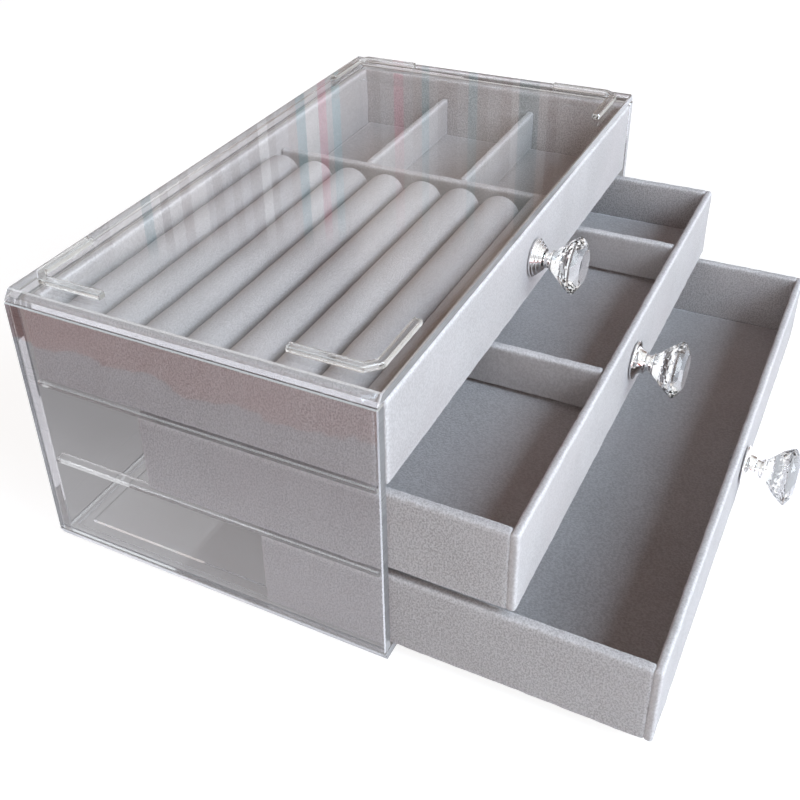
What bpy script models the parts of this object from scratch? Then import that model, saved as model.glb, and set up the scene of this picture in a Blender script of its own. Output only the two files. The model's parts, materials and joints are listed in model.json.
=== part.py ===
"""Tiered jewelry box: a clear plastic case with three velvet-lined drawers on runner ledges.

The frame is metric, +Z up. The origin is the centre of the case's underside, +X runs along the case and the
drawers slide out along -Y. The middle and bottom drawers stand part way out at rest.
"""
import math

import bmesh
import bpy
from mathutils import Matrix, Vector

# Clear case
CASE_LENGTH = 0.240
CASE_DEPTH = 0.131
CASE_HEIGHT = 0.102
SIDE_WALL = 0.0038
BACK_WALL = 0.0038
TOP_PLATE = 0.0035
BOTTOM_PLATE = 0.0032
TOP_SIDE_SLOPE = 0.0028
BOTTOM_SIDE_SLOPE = 0.0013
CASE_EDGE = 0.0004
SEAT_GAP = 0.0003

# Runner ledges inside the side walls
RUNNER_THICKNESS = 0.0022
RUNNER_WIDTH = 0.0040
RUNNER_SETBACK = 0.0025
RUNNER_EDGE = 0.0004

# Stacking guides on the top, and the groove under the case that the guides of a box below enter
GUIDE_SIDE_INSET = 0.0080
GUIDE_END_INSET = 0.0040
GUIDE_ARM = 0.0288
GUIDE_WIDTH = 0.0030
GUIDE_HEIGHT = 0.0023
GUIDE_CORNER_CUT = 0.0045
GUIDE_EDGE = 0.0004
GROOVE_CLEARANCE = 0.0006
GROOVE_DEPTH = 0.0012

# Drawers: clearances in the case, and board thicknesses
TIERS = 3
SIDE_CLEARANCE = 0.0010
REAR_CLEARANCE = 0.0007
LIFT_CLEARANCE = 0.0005
FRONT_BOARD = 0.0027
SIDE_BOARD = 0.0033
BACK_BOARD = 0.0033
BASE_BOARD = 0.0038
BOARD_EDGE = 0.0009

# How far each drawer stands out of the case at rest, bottom to top
BOTTOM_PULL = 0.0815
MIDDLE_PULL = 0.0390
TOP_PULL = 0.0

# Top drawer: ring section on the left, three small bays on the right
RING_SECTION = 0.1444
PARTITION_THICKNESS = 0.0032
PARTITION_HEIGHT = 0.0172
SMALL_DIVIDER = 0.0030
SMALL_BAYS = 3
ROLL_COUNT = 7
ROLL_END_SPACE = 0.0090
ROLL_END_ROUND = 0.0052
BED_BACK_MARGIN = 0.0004
BED_TOP_DROP = 0.0030
BED_STRIP_WIDTH = 0.0074
BED_STRIP_RISE = 0.0040

# Middle drawer: raised floor and two dividers
RAISED_FLOOR = 0.0072
MIDDLE_LEFT_BAY = 0.0797
MIDDLE_RIGHT_BAY = 0.0480
MIDDLE_DIVIDER = 0.0032
DIVIDER_FOOT_GAP = 0.0012
DIVIDER_TOP_DROP = 0.0006

# Knobs, measured outwards from the drawer front
KNOB_BASE_RADIUS = 0.0069
KNOB_BASE_HEIGHT = 0.0039
KNOB_RIM = 0.0010
KNOB_RINGS = 3
STEM_RADIUS = 0.0030
STEM_LENGTH = 0.0028
CUP_RADIUS = 0.0039
CUP_LIP = 0.0006
HEAD_RADIUS = 0.0102
HEAD_DEPTH = 0.0107
HEAD_GIRDLE = 0.0007
HEAD_SIDES = 16
SCREW_RADIUS = 0.0017
SCREW_CLEARANCE = 0.0003
SCREW_HEAD_RADIUS = 0.0030
SCREW_HEAD_HEIGHT = 0.0018
SCREW_GRIP = 0.0013

# Facet counts of the round pieces
TURNED_SIDES = 32
SCREW_SIDES = 20
ROLL_SIDES = 24
ARC_STEPS = 8
END_STEPS = 3
EDGE_STEPS = 2

# Shares of a piece's own size, chosen by eye
EDGE_LIMIT_SHARE = 0.3
PAVILION_DEPTH_SHARE = 0.72
PAVILION_WAIST_SHARES = (0.58, 0.79)
CROWN_WAIST_SHARES = (0.55, 0.84)
CROWN_TABLE_SHARE = 0.62
NECK_SHARE = 0.35
ROLL_AXIS_SHARE = 0.532

# Worked out from the sizes above
HALF_LENGTH = CASE_LENGTH / 2
HALF_DEPTH = CASE_DEPTH / 2
WALL_BASE = BOTTOM_PLATE + SEAT_GAP
WALL_TOP = CASE_HEIGHT - TOP_PLATE - SEAT_GAP
INNER_HALF_LENGTH = HALF_LENGTH - SIDE_WALL
BACK_WALL_FACE = HALF_DEPTH - BACK_WALL
BAY_HEIGHT = (CASE_HEIGHT - TOP_PLATE - BOTTOM_PLATE - (TIERS - 1) * RUNNER_THICKNESS) / TIERS
DRAWER_HEIGHT = BAY_HEIGHT - SEAT_GAP - LIFT_CLEARANCE
DRAWER_HALF = INNER_HALF_LENGTH - SIDE_CLEARANCE
DRAWER_DEPTH = CASE_DEPTH - BACK_WALL - REAR_CLEARANCE
DRAWER_INNER_HALF = DRAWER_HALF - SIDE_BOARD
INNER_FRONT = FRONT_BOARD
INNER_BACK = DRAWER_DEPTH - BACK_BOARD

CLEAR = ((0.90, 0.92, 0.93, 1.0), 0.05, 0.0, 0.9)
VELVET = ((0.62, 0.61, 0.64, 1.0), 0.95, 0.0, 0.0)
CHROME = ((0.82, 0.82, 0.83, 1.0), 0.10, 1.0, 0.0)
CRYSTAL = ((0.95, 0.96, 0.97, 1.0), 0.02, 0.0, 1.0)
STEEL = ((0.62, 0.62, 0.63, 1.0), 0.30, 1.0, 0.0)


def clear_scene():
    """Start from an empty scene."""
    for item in list(bpy.data.objects):
        bpy.data.objects.remove(item, do_unlink=True)


def add_finish(item, finish):
    """Give one object its own plain material."""
    colour, roughness, metallic, transmission = finish
    material = bpy.data.materials.new(item.name)
    material.use_nodes = True
    shader = material.node_tree.nodes["Principled BSDF"]
    shader.inputs["Base Color"].default_value = colour
    shader.inputs["Roughness"].default_value = roughness
    shader.inputs["Metallic"].default_value = metallic
    shader.inputs["Transmission Weight"].default_value = transmission
    item.data.materials.append(material)


def add_piece(name, shape, location, finish, parent=None):
    """Turn a bmesh into a named object at a place in its parent's frame."""
    bmesh.ops.recalc_face_normals(shape, faces=shape.faces)
    mesh = bpy.data.meshes.new(name)
    shape.to_mesh(mesh)
    shape.free()
    item = bpy.data.objects.new(name, mesh)
    bpy.context.scene.collection.objects.link(item)
    item.location = location
    item.parent = parent
    add_finish(item, finish)
    return item


def add_round_shading(item):
    """Smooth the round faces and keep the real edges sharp."""
    item.data.shade_smooth()
    item.data.set_sharp_from_angle(angle=math.radians(30))


def add_edge(item, width, thinnest, steps=EDGE_STEPS):
    """Round a piece's edges, never by more than its thinnest wall allows."""
    bevel = item.modifiers.new("edge", "BEVEL")
    bevel.width = min(width, thinnest * EDGE_LIMIT_SHARE)
    bevel.segments = steps
    bevel.limit_method = "ANGLE"
    bevel.angle_limit = math.radians(30)


def block(name, low, high, finish, edge, parent=None, steps=EDGE_STEPS):
    """A rectangular piece between two corners, with rounded edges."""
    low = Vector(low)
    high = Vector(high)
    size = high - low
    shape = bmesh.new()
    bmesh.ops.create_cube(shape, size=1)
    bmesh.ops.scale(shape, vec=size, verts=shape.verts)
    item = add_piece(name, shape, (low + high) / 2, finish, parent)
    add_edge(item, edge, min(size), steps)
    return item


def loft(name, loops, location, finish, parent=None):
    """Bridge a stack of closed loops with equal point counts, and close both ends."""
    shape = bmesh.new()
    rings = [[shape.verts.new(point) for point in loop] for loop in loops]
    for lower, upper in zip(rings, rings[1:]):
        for i in range(len(lower)):
            shape.faces.new((lower[i - 1], lower[i], upper[i], upper[i - 1]))
    shape.faces.new(rings[0])
    shape.faces.new(rings[-1])
    return add_piece(name, shape, location, finish, parent)


def rectangle(half_x, half_y, z):
    """Corners of a centred rectangle at one height."""
    return [(-half_x, -half_y, z), (half_x, -half_y, z), (half_x, half_y, z), (-half_x, half_y, z)]


def extruded(name, outline, direction, location, finish, parent=None):
    """Extrude a closed outline of 3-D points along a direction."""
    shape = bmesh.new()
    face = shape.faces.new([shape.verts.new(point) for point in outline])
    grown = bmesh.ops.extrude_face_region(shape, geom=[face])
    moved = [part for part in grown["geom"] if isinstance(part, bmesh.types.BMVert)]
    bmesh.ops.translate(shape, vec=direction, verts=moved)
    return add_piece(name, shape, location, finish, parent)


def turned(name, profile, sides, location, finish, parent=None, closed=False):
    """Spin a profile of (radius, distance) pairs about the -Y axis."""
    shape = bmesh.new()
    verts = [shape.verts.new((radius, -distance, 0.0)) for radius, distance in profile]
    edges = [shape.edges.new(pair) for pair in zip(verts, verts[1:])]
    if closed:
        edges.append(shape.edges.new((verts[-1], verts[0])))
    bmesh.ops.spin(shape, geom=verts + edges, axis=(0.0, 1.0, 0.0), cent=(0.0, 0.0, 0.0),
                   angle=math.tau, steps=sides, use_merge=True)
    bmesh.ops.remove_doubles(shape, verts=shape.verts, dist=SEAT_GAP / TURNED_SIDES)
    item = add_piece(name, shape, location, finish, parent)
    add_round_shading(item)
    return item


def build_panels():
    """The five clear plates of the case, glued edge to edge."""
    top = loft(
        "top_panel",
        [rectangle(HALF_LENGTH, HALF_DEPTH, 0.0),
         rectangle(HALF_LENGTH - TOP_SIDE_SLOPE, HALF_DEPTH, TOP_PLATE)],
        (0.0, 0.0, CASE_HEIGHT - TOP_PLATE), CLEAR)
    add_edge(top, CASE_EDGE, TOP_PLATE, 1)

    groove_x = HALF_LENGTH - GUIDE_SIDE_INSET + GROOVE_CLEARANCE
    groove_y = HALF_DEPTH - GUIDE_END_INSET + GROOVE_CLEARANCE
    groove_width = GUIDE_WIDTH + 2 * GROOVE_CLEARANCE
    loft(
        "bottom_panel",
        [rectangle(HALF_LENGTH, HALF_DEPTH, BOTTOM_PLATE),
         rectangle(HALF_LENGTH - BOTTOM_SIDE_SLOPE, HALF_DEPTH, 0.0),
         rectangle(groove_x, groove_y, 0.0),
         rectangle(groove_x, groove_y, GROOVE_DEPTH),
         rectangle(groove_x - groove_width, groove_y - groove_width, GROOVE_DEPTH),
         rectangle(groove_x - groove_width, groove_y - groove_width, 0.0)],
        (0.0, 0.0, 0.0), CLEAR)

    for side, sign in (("left", -1), ("right", 1)):
        outer = sign * HALF_LENGTH
        inner = sign * INNER_HALF_LENGTH
        block(side + "_wall", (min(outer, inner), -HALF_DEPTH, WALL_BASE),
              (max(outer, inner), HALF_DEPTH, WALL_TOP), CLEAR, CASE_EDGE, steps=1)
    block("back_wall", (-INNER_HALF_LENGTH + SEAT_GAP, BACK_WALL_FACE, WALL_BASE),
          (INNER_HALF_LENGTH - SEAT_GAP, HALF_DEPTH, WALL_TOP), CLEAR, CASE_EDGE, steps=1)


def runner_base(level):
    """Underside of the ledges above a tier, counted from the bottom."""
    return BOTTOM_PLATE + level * BAY_HEIGHT + (level - 1) * RUNNER_THICKNESS


def build_runners():
    """Two ledges on each side wall, which carry the upper two drawers."""
    for level, height_name in ((1, "lower"), (2, "upper")):
        base = runner_base(level)
        for side, sign in (("left", -1), ("right", 1)):
            outer = sign * (INNER_HALF_LENGTH - SEAT_GAP)
            inner = sign * (INNER_HALF_LENGTH - RUNNER_WIDTH)
            block(f"runner_{side}_{height_name}",
                  (min(outer, inner), -HALF_DEPTH + RUNNER_SETBACK, base),
                  (max(outer, inner), BACK_WALL_FACE - SEAT_GAP, base + RUNNER_THICKNESS),
                  CLEAR, RUNNER_EDGE, steps=1)


def build_guides():
    """Four L-shaped guides with a cut outer corner, which locate a second box on top."""
    arm = GUIDE_ARM
    wide = GUIDE_WIDTH
    cut = GUIDE_CORNER_CUT
    inner_cut = wide + max(cut - wide * (2 - math.sqrt(2)), 0.0)
    outline = [(cut, 0.0), (arm, 0.0), (arm, wide), (inner_cut, wide), (wide, inner_cut), (wide, arm),
               (0.0, arm), (0.0, cut)]
    for end, sign_y in (("front", 1), ("back", -1)):
        for side, sign_x in (("left", 1), ("right", -1)):
            points = [(sign_x * x, sign_y * y, 0.0) for x, y in outline]
            corner = (sign_x * (GUIDE_SIDE_INSET - HALF_LENGTH), sign_y * (GUIDE_END_INSET - HALF_DEPTH),
                      CASE_HEIGHT + SEAT_GAP)
            guide = extruded(f"guide_{end}_{side}", points, (0.0, 0.0, GUIDE_HEIGHT), corner, CLEAR)
            add_edge(guide, GUIDE_EDGE, GUIDE_WIDTH, 1)


def drawer_frame(tier, pull):
    """An empty on the slide axis: centre of the drawer front's lower edge."""
    frame = bpy.data.objects.new(f"{tier}_slide", None)
    bpy.context.scene.collection.objects.link(frame)
    level = ("bottom", "middle", "top").index(tier)
    base = BOTTOM_PLATE + level * (BAY_HEIGHT + RUNNER_THICKNESS) + SEAT_GAP
    frame.location = (0.0, -HALF_DEPTH - pull, base)
    return frame


def build_boards(tier, frame):
    """The wrapped boards of one drawer: front, two sides, back and base."""
    half = DRAWER_HALF
    gap = SEAT_GAP
    inner = DRAWER_INNER_HALF
    hole = SCREW_RADIUS + SCREW_CLEARANCE
    front = block(f"{tier}_front_board", (-half, 0.0, 0.0), (half, FRONT_BOARD, DRAWER_HEIGHT),
                  VELVET, BOARD_EDGE, frame)
    bore_through(front, hole, (0.0, 0.0, DRAWER_HEIGHT / 2), FRONT_BOARD, frame)
    block(f"{tier}_left_board", (-half, FRONT_BOARD + gap, 0.0),
          (-inner, DRAWER_DEPTH, DRAWER_HEIGHT), VELVET, BOARD_EDGE, frame)
    block(f"{tier}_right_board", (inner, FRONT_BOARD + gap, 0.0),
          (half, DRAWER_DEPTH, DRAWER_HEIGHT), VELVET, BOARD_EDGE, frame)
    block(f"{tier}_back_board", (-inner + gap, INNER_BACK, 0.0),
          (inner - gap, DRAWER_DEPTH, DRAWER_HEIGHT), VELVET, BOARD_EDGE, frame)
    block(f"{tier}_base_board", (-inner + gap, INNER_FRONT + gap, 0.0),
          (inner - gap, INNER_BACK - gap, BASE_BOARD), VELVET, BOARD_EDGE, frame, steps=1)


def bore_through(item, radius, centre, depth, parent):
    """Drill a round hole along Y through a board."""
    shape = bmesh.new()
    bmesh.ops.create_cone(shape, cap_ends=True, segments=SCREW_SIDES, radius1=radius, radius2=radius,
                          depth=3 * depth, matrix=Matrix.Rotation(math.radians(90), 4, "X"))
    drill = add_piece(item.name + "_drill", shape, (centre[0], centre[1] + depth / 2, centre[2]), STEEL, parent)
    drill.hide_render = True
    drill.display_type = "WIRE"
    cut = item.modifiers.new("screw hole", "BOOLEAN")
    cut.operation = "DIFFERENCE"
    cut.object = drill


def stepped_base_profile(bore):
    """Rosette of stacked rings, each one smaller and rounded over."""
    ring_height = (KNOB_BASE_HEIGHT - KNOB_RIM) / KNOB_RINGS
    step = (KNOB_BASE_RADIUS - STEM_RADIUS) / (KNOB_RINGS + 1)
    lip = ring_height / 3
    profile = [(bore, 0.0), (KNOB_BASE_RADIUS, 0.0), (KNOB_BASE_RADIUS, KNOB_RIM)]
    for ring in range(KNOB_RINGS):
        radius = KNOB_BASE_RADIUS - step * (ring + 1)
        foot = KNOB_RIM + ring_height * ring
        profile += [(radius + lip / 2, foot), (radius + lip / 2, foot + ring_height - lip),
                    (radius, foot + ring_height)]
    profile.append((bore, KNOB_BASE_HEIGHT))
    return profile


def flared_base_profile(bore):
    """Trumpet-shaped base that sweeps from a wide rim to the stem."""
    neck = STEM_RADIUS + (KNOB_BASE_RADIUS - STEM_RADIUS) / (KNOB_RINGS + 1)
    sweep = [(KNOB_BASE_RADIUS - (KNOB_BASE_RADIUS - neck) * math.sin(turn),
              KNOB_BASE_HEIGHT - (KNOB_BASE_HEIGHT - KNOB_RIM) * math.cos(turn))
             for turn in (math.radians(90) * i / ARC_STEPS for i in range(ARC_STEPS + 1))]
    return [(bore, 0.0), (KNOB_BASE_RADIUS, 0.0)] + sweep + [(bore, KNOB_BASE_HEIGHT)]


def build_knob(tier, frame):
    """Chrome base and stem, faceted crystal head, and the screw that holds them from inside."""
    height = DRAWER_HEIGHT / 2
    bore = SCREW_RADIUS + SCREW_CLEARANCE
    outline = stepped_base_profile if tier == "top" else flared_base_profile
    turned(f"{tier}_knob_base", outline(bore), TURNED_SIDES, (0.0, -SEAT_GAP, height), CHROME, frame,
           closed=True)

    stem_foot = SEAT_GAP + KNOB_BASE_HEIGHT + SEAT_GAP
    blind = SCREW_GRIP + SCREW_CLEARANCE
    neck_end = STEM_LENGTH * (1 - NECK_SHARE)
    turned(f"{tier}_knob_stem",
           [(0.0, blind), (bore, blind), (bore, 0.0), (STEM_RADIUS, 0.0), (STEM_RADIUS, neck_end),
            (CUP_RADIUS, STEM_LENGTH - CUP_LIP), (CUP_RADIUS, STEM_LENGTH), (0.0, STEM_LENGTH)],
           TURNED_SIDES, (0.0, -stem_foot, height), CHROME, frame)

    head_foot = stem_foot + STEM_LENGTH + SEAT_GAP
    build_crystal(f"{tier}_knob_head", (0.0, -head_foot, height), frame)

    screw_end = stem_foot + SCREW_GRIP
    shank = FRONT_BOARD + SEAT_GAP + screw_end
    dome = [(SCREW_HEAD_RADIUS * math.cos(turn), -SCREW_HEAD_HEIGHT * math.sin(turn))
            for turn in (math.radians(90) * i / END_STEPS for i in range(END_STEPS + 1))]
    turned(f"{tier}_knob_screw",
           list(reversed(dome)) + [(SCREW_RADIUS, 0.0), (SCREW_RADIUS, shank), (0.0, shank)],
           SCREW_SIDES, (0.0, FRONT_BOARD + SEAT_GAP, height), STEEL, frame)


def build_crystal(name, location, parent):
    """Gem-cut head: rings of points, each turned half a facet, wrapped in flat facets."""
    pavilion = HEAD_DEPTH * PAVILION_DEPTH_SHARE
    waist_depth, waist_radius = PAVILION_WAIST_SHARES
    crown = pavilion + HEAD_GIRDLE
    crown_depth, crown_radius = CROWN_WAIST_SHARES
    half_facet = math.pi / HEAD_SIDES
    rings = [(CUP_RADIUS, 0.0, 0.0),
             (HEAD_RADIUS * waist_radius, pavilion * waist_depth, half_facet),
             (HEAD_RADIUS, pavilion, 0.0),
             (HEAD_RADIUS, crown, 0.0),
             (HEAD_RADIUS * crown_radius, crown + (HEAD_DEPTH - crown) * crown_depth, half_facet),
             (HEAD_RADIUS * CROWN_TABLE_SHARE, HEAD_DEPTH, 0.0)]
    shape = bmesh.new()
    for radius, distance, offset in rings:
        for side in range(HEAD_SIDES):
            turn = math.tau * side / HEAD_SIDES + offset
            shape.verts.new((radius * math.cos(turn), -distance, radius * math.sin(turn)))
    wrapped = bmesh.ops.convex_hull(shape, input=shape.verts)
    bmesh.ops.delete(shape, geom=wrapped["geom_interior"], context="VERTS")
    bmesh.ops.dissolve_limit(shape, angle_limit=math.radians(1), verts=shape.verts, edges=shape.edges)
    add_piece(name, shape, location, CRYSTAL, parent)


def build_top_fittings(frame):
    """Ring bed with its rolls, the partition, and the dividers of the small bays."""
    gap = SEAT_GAP
    left = -DRAWER_INNER_HALF
    floor = BASE_BOARD + gap
    partition_face = left + RING_SECTION
    partition_back = partition_face + PARTITION_THICKNESS
    block("top_partition", (partition_face, INNER_FRONT + gap, floor),
          (partition_back, INNER_BACK - gap, BASE_BOARD + PARTITION_HEIGHT), VELVET, BOARD_EDGE, frame)

    span = INNER_BACK - INNER_FRONT
    bay = (span - (SMALL_BAYS - 1) * SMALL_DIVIDER) / SMALL_BAYS
    for index, place in enumerate(("front", "back")):
        start = INNER_FRONT + bay * (index + 1) + SMALL_DIVIDER * index
        block(f"top_divider_{place}", (partition_back + gap, start, floor),
              (DRAWER_INNER_HALF - gap, start + SMALL_DIVIDER, BASE_BOARD + PARTITION_HEIGHT),
              VELVET, BOARD_EDGE, frame)

    bed_front = INNER_FRONT + gap + SCREW_HEAD_HEIGHT + gap
    bed_back = INNER_BACK - gap
    pitch = (bed_back - BED_BACK_MARGIN - bed_front - BED_STRIP_WIDTH - gap) / ROLL_COUNT
    channel = (pitch + gap) / 2
    first_axis = bed_back - BED_BACK_MARGIN - channel
    axis_height = floor + (DRAWER_HEIGHT - floor) * ROLL_AXIS_SHARE
    rim_turn = math.asin(BED_TOP_DROP / channel)
    outline = [(bed_back, floor), (bed_back, axis_height - BED_TOP_DROP)]
    for index in range(ROLL_COUNT):
        axis = first_axis - pitch * index
        last_turn = math.pi if index == ROLL_COUNT - 1 else math.pi - rim_turn
        for step in range(ARC_STEPS + 1):
            turn = rim_turn + (last_turn - rim_turn) * step / ARC_STEPS
            outline.append((axis + channel * math.cos(turn), axis_height - channel * math.sin(turn)))
    strip_top = axis_height + BED_STRIP_RISE
    outline += [(outline[-1][0], strip_top), (bed_front, strip_top), (bed_front, floor)]
    extruded("top_ring_bed", [(0.0, y, z) for y, z in outline], (RING_SECTION - 2 * gap, 0.0, 0.0),
             (left + gap, 0.0, 0.0), VELVET, frame)

    for index in range(ROLL_COUNT):
        build_roll(f"top_ring_roll_{index + 1}", (left + gap, first_axis - pitch * index, axis_height),
                   channel - gap, RING_SECTION - gap - ROLL_END_SPACE, frame)


def build_roll(name, location, radius, length, parent):
    """A foam roll along +X with rounded shoulders at both ends."""
    rounds = [math.radians(90) * i / END_STEPS for i in range(END_STEPS + 1)]
    near = [(radius - ROLL_END_ROUND * (1 - math.sin(turn)), ROLL_END_ROUND * (1 - math.cos(turn)))
            for turn in rounds]
    far = [(reach, length - inset) for reach, inset in reversed(near)]
    item = turned(name, [(0.0, 0.0)] + near + far + [(0.0, length)], ROLL_SIDES, location, VELVET, parent)
    item.data.transform(Matrix.Rotation(math.radians(90), 4, "Z"))


def build_middle_fittings(frame):
    """Raised floor and two dividers that stop just above it."""
    gap = SEAT_GAP
    inner = DRAWER_INNER_HALF
    floor = BASE_BOARD + gap
    screw_underside = DRAWER_HEIGHT / 2 - SCREW_HEAD_RADIUS
    floor_top = min(floor + RAISED_FLOOR, screw_underside - gap)
    block("middle_raised_floor", (-inner + gap, INNER_FRONT + gap, floor),
          (inner - gap, INNER_BACK - gap, floor_top), VELVET, BOARD_EDGE, frame)
    left_face = -inner + MIDDLE_LEFT_BAY
    right_face = inner - MIDDLE_RIGHT_BAY
    foot = floor_top + DIVIDER_FOOT_GAP
    for place, start in (("left", left_face), ("right", right_face - MIDDLE_DIVIDER)):
        block(f"middle_divider_{place}", (start, INNER_FRONT + gap, foot),
              (start + MIDDLE_DIVIDER, INNER_BACK - gap, DRAWER_HEIGHT - DIVIDER_TOP_DROP),
              VELVET, BOARD_EDGE, frame)


def build_drawers():
    """Three drawers, each under its own slide frame."""
    for tier, pull in (("bottom", BOTTOM_PULL), ("middle", MIDDLE_PULL), ("top", TOP_PULL)):
        frame = drawer_frame(tier, pull)
        build_boards(tier, frame)
        build_knob(tier, frame)
        if tier == "top":
            build_top_fittings(frame)
        if tier == "middle":
            build_middle_fittings(frame)


clear_scene()
build_panels()
build_runners()
build_guides()
build_drawers()
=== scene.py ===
"""Dresses the tiered jewelry box: clear plates, velvet drawers, padded rolls and crystal knobs."""
import json
import math

import bmesh
import bpy
from bpy.props import FloatProperty, FloatVectorProperty, IntProperty, PointerProperty
from mathutils import Matrix, Vector, noise


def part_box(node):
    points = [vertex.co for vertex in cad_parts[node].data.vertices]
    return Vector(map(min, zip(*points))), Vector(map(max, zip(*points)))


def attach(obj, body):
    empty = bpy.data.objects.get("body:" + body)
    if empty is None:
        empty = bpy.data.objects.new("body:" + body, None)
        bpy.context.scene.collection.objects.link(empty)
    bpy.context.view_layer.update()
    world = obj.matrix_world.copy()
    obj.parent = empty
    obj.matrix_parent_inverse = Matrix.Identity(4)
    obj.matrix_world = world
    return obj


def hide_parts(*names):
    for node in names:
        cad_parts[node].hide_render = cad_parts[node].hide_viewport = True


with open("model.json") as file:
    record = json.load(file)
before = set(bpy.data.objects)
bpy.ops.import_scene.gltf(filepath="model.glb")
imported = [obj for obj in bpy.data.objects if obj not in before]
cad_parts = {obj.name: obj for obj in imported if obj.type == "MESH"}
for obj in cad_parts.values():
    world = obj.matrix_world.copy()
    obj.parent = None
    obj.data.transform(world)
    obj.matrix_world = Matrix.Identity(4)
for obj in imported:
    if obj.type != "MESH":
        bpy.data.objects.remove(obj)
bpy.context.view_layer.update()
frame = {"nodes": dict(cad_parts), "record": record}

bl_info = {
    "name": "Tiered Jewelry Box Finish",
    "version": (1, 0, 0),
    "blender": (4, 5, 0),
    "location": "3D Viewport > Sidebar > Jewelry Box",
    "description": "Velvet, clear plate, chrome and crystal finishes for a box of three drawers",
    "category": "Object",
}

BODIES = frame["record"]["behaviour"]["bodies"]
BODY_OF = {node: body for body, nodes in BODIES.items() for node in nodes}
TIERS = ("bottom", "middle", "top")
X_AXIS, Y_AXIS, Z_AXIS = (1.0, 0.0, 0.0), (0.0, 1.0, 0.0), (0.0, 0.0, 1.0)
LEFTWARDS = (-1.0, 0.0, 0.0)
WHITE = (1.0, 1.0, 1.0, 1.0)
QUARTER_TURN = [math.radians(9 * step) for step in range(11)]

# Lengths are in metres. The side boards run this far into the front board's wrap, closing the seam.
SEAM_LAP = 0.0006
# The width of the slices that let a board's velvet wander, for flat boards and upright ones.
FLAT_STEP, UPRIGHT_STEP = 0.0032, 0.0015
# The play round a roll in its channel, and how far the bed's ridges stay under the rolls' axes.
CHANNEL_GAP, RIDGE_DROP = 0.0003, 0.0030
CHANNEL_STEPS = 14
# Painted shade in a roll's crease, in radii: where it starts beside and above the axis, and how
# soon it is darkest.
SHADE_BESIDE, SHADE_ABOVE = 0.86, 0.30
BESIDE_REACH, ABOVE_REACH = 0.12, 0.30
# The most that the painted crease shade darkens the pile.
SHADE_LIMIT = 0.9
# The rounding of a roll's ends as a share of its radius.
ROLL_END_SHARE = 0.68
ROLL_SIDES, ROLL_SLICES = 40, 44
# A knob stem's radius as a share of its cup's, and the band round a base as a share of its height.
STEM_SHARE = 0.77
BAND_SHARE = 0.24
# How far the corners of a stepped base, a plain base's band and a stem are rounded.
STEP_ROUND, BAND_ROUND, STEM_ROUND = 0.00028, 0.0004, 0.0003
# A screw's pitch, its plain length under the head, all its plain length, and its point.
SCREW_PITCH, UNDER_HEAD, UNTHREADED, SCREW_POINT = 0.0007, 0.0004, 0.0012, 0.0005
SCREW_SIDES = 48
# How many surfaces a ray meets before the plate that traps it lets it straight out.
TRAPPED_DEPTH = 7.5
# The refraction of a plate that shows things where they are.
STRAIGHT_IOR = 1.02
# The floor lies a little under the case, so that their faces don't meet.
FLOOR_RADIUS, FLOOR_DROP = 4.0, 0.0006
LAMP_TARGET = (0.0, -0.03, 0.05)
# The camera's place, its lens in millimetres, its shifts and, in degrees, its turns.
CAMERA_PLACE = (-0.31659, -0.17040, 0.26829)
CAMERA_LENS = 48.1
CAMERA_SHIFTS = (0.0516, -0.0857)
CAMERA_BEARING, CAMERA_DIP, CAMERA_ROLL = 60.87, 33.06, -2.41

# What the plates and the chrome mirror: a dark side of the room, a hazy one, pale things, a window.
ROOM_DARK = (0.20, 0.15, 0.13, 1.0)
ROOM_HAZE = (0.90, 0.96, 1.0, 1.0)
ROOM_PALE = (0.86, 0.80, 0.76, 1.0)
WINDOW_WAY = (-0.42, -0.90, 0.0)
# Shares of the spines on a shelf of books, each up to the next, and their colours.
BOOK_TONES = (
    (0.0, (0.48, 0.44, 0.44, 1.0)),
    (0.16, (0.33, 0.54, 0.60, 1.0)),
    (0.30, (0.66, 0.64, 0.66, 1.0)),
    (0.48, (0.95, 0.94, 0.95, 1.0)),
    (0.78, (0.56, 0.50, 0.50, 1.0)),
    (0.89, (0.84, 0.42, 0.52, 1.0)),
)
BOOKS_PER_RADIAN = 105.0
# Painted reflection: what the side walls mirror of the floor, which glows in these colours for
# glossy rays only: bright close by, cooler further off, then brown.
FLOOR_CLOSE = (1.6, 1.65, 1.8, 1.0)
FLOOR_COOL = (0.66, 0.70, 0.82, 1.0)
FLOOR_BROWN = (0.74, 0.165, 0.125, 1.0)
# Painted shade: the dim glow that the plates show in place of the floor under and behind them.
FLOOR_THROUGH = (0.275, 0.27, 0.275, 1.0)


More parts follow.
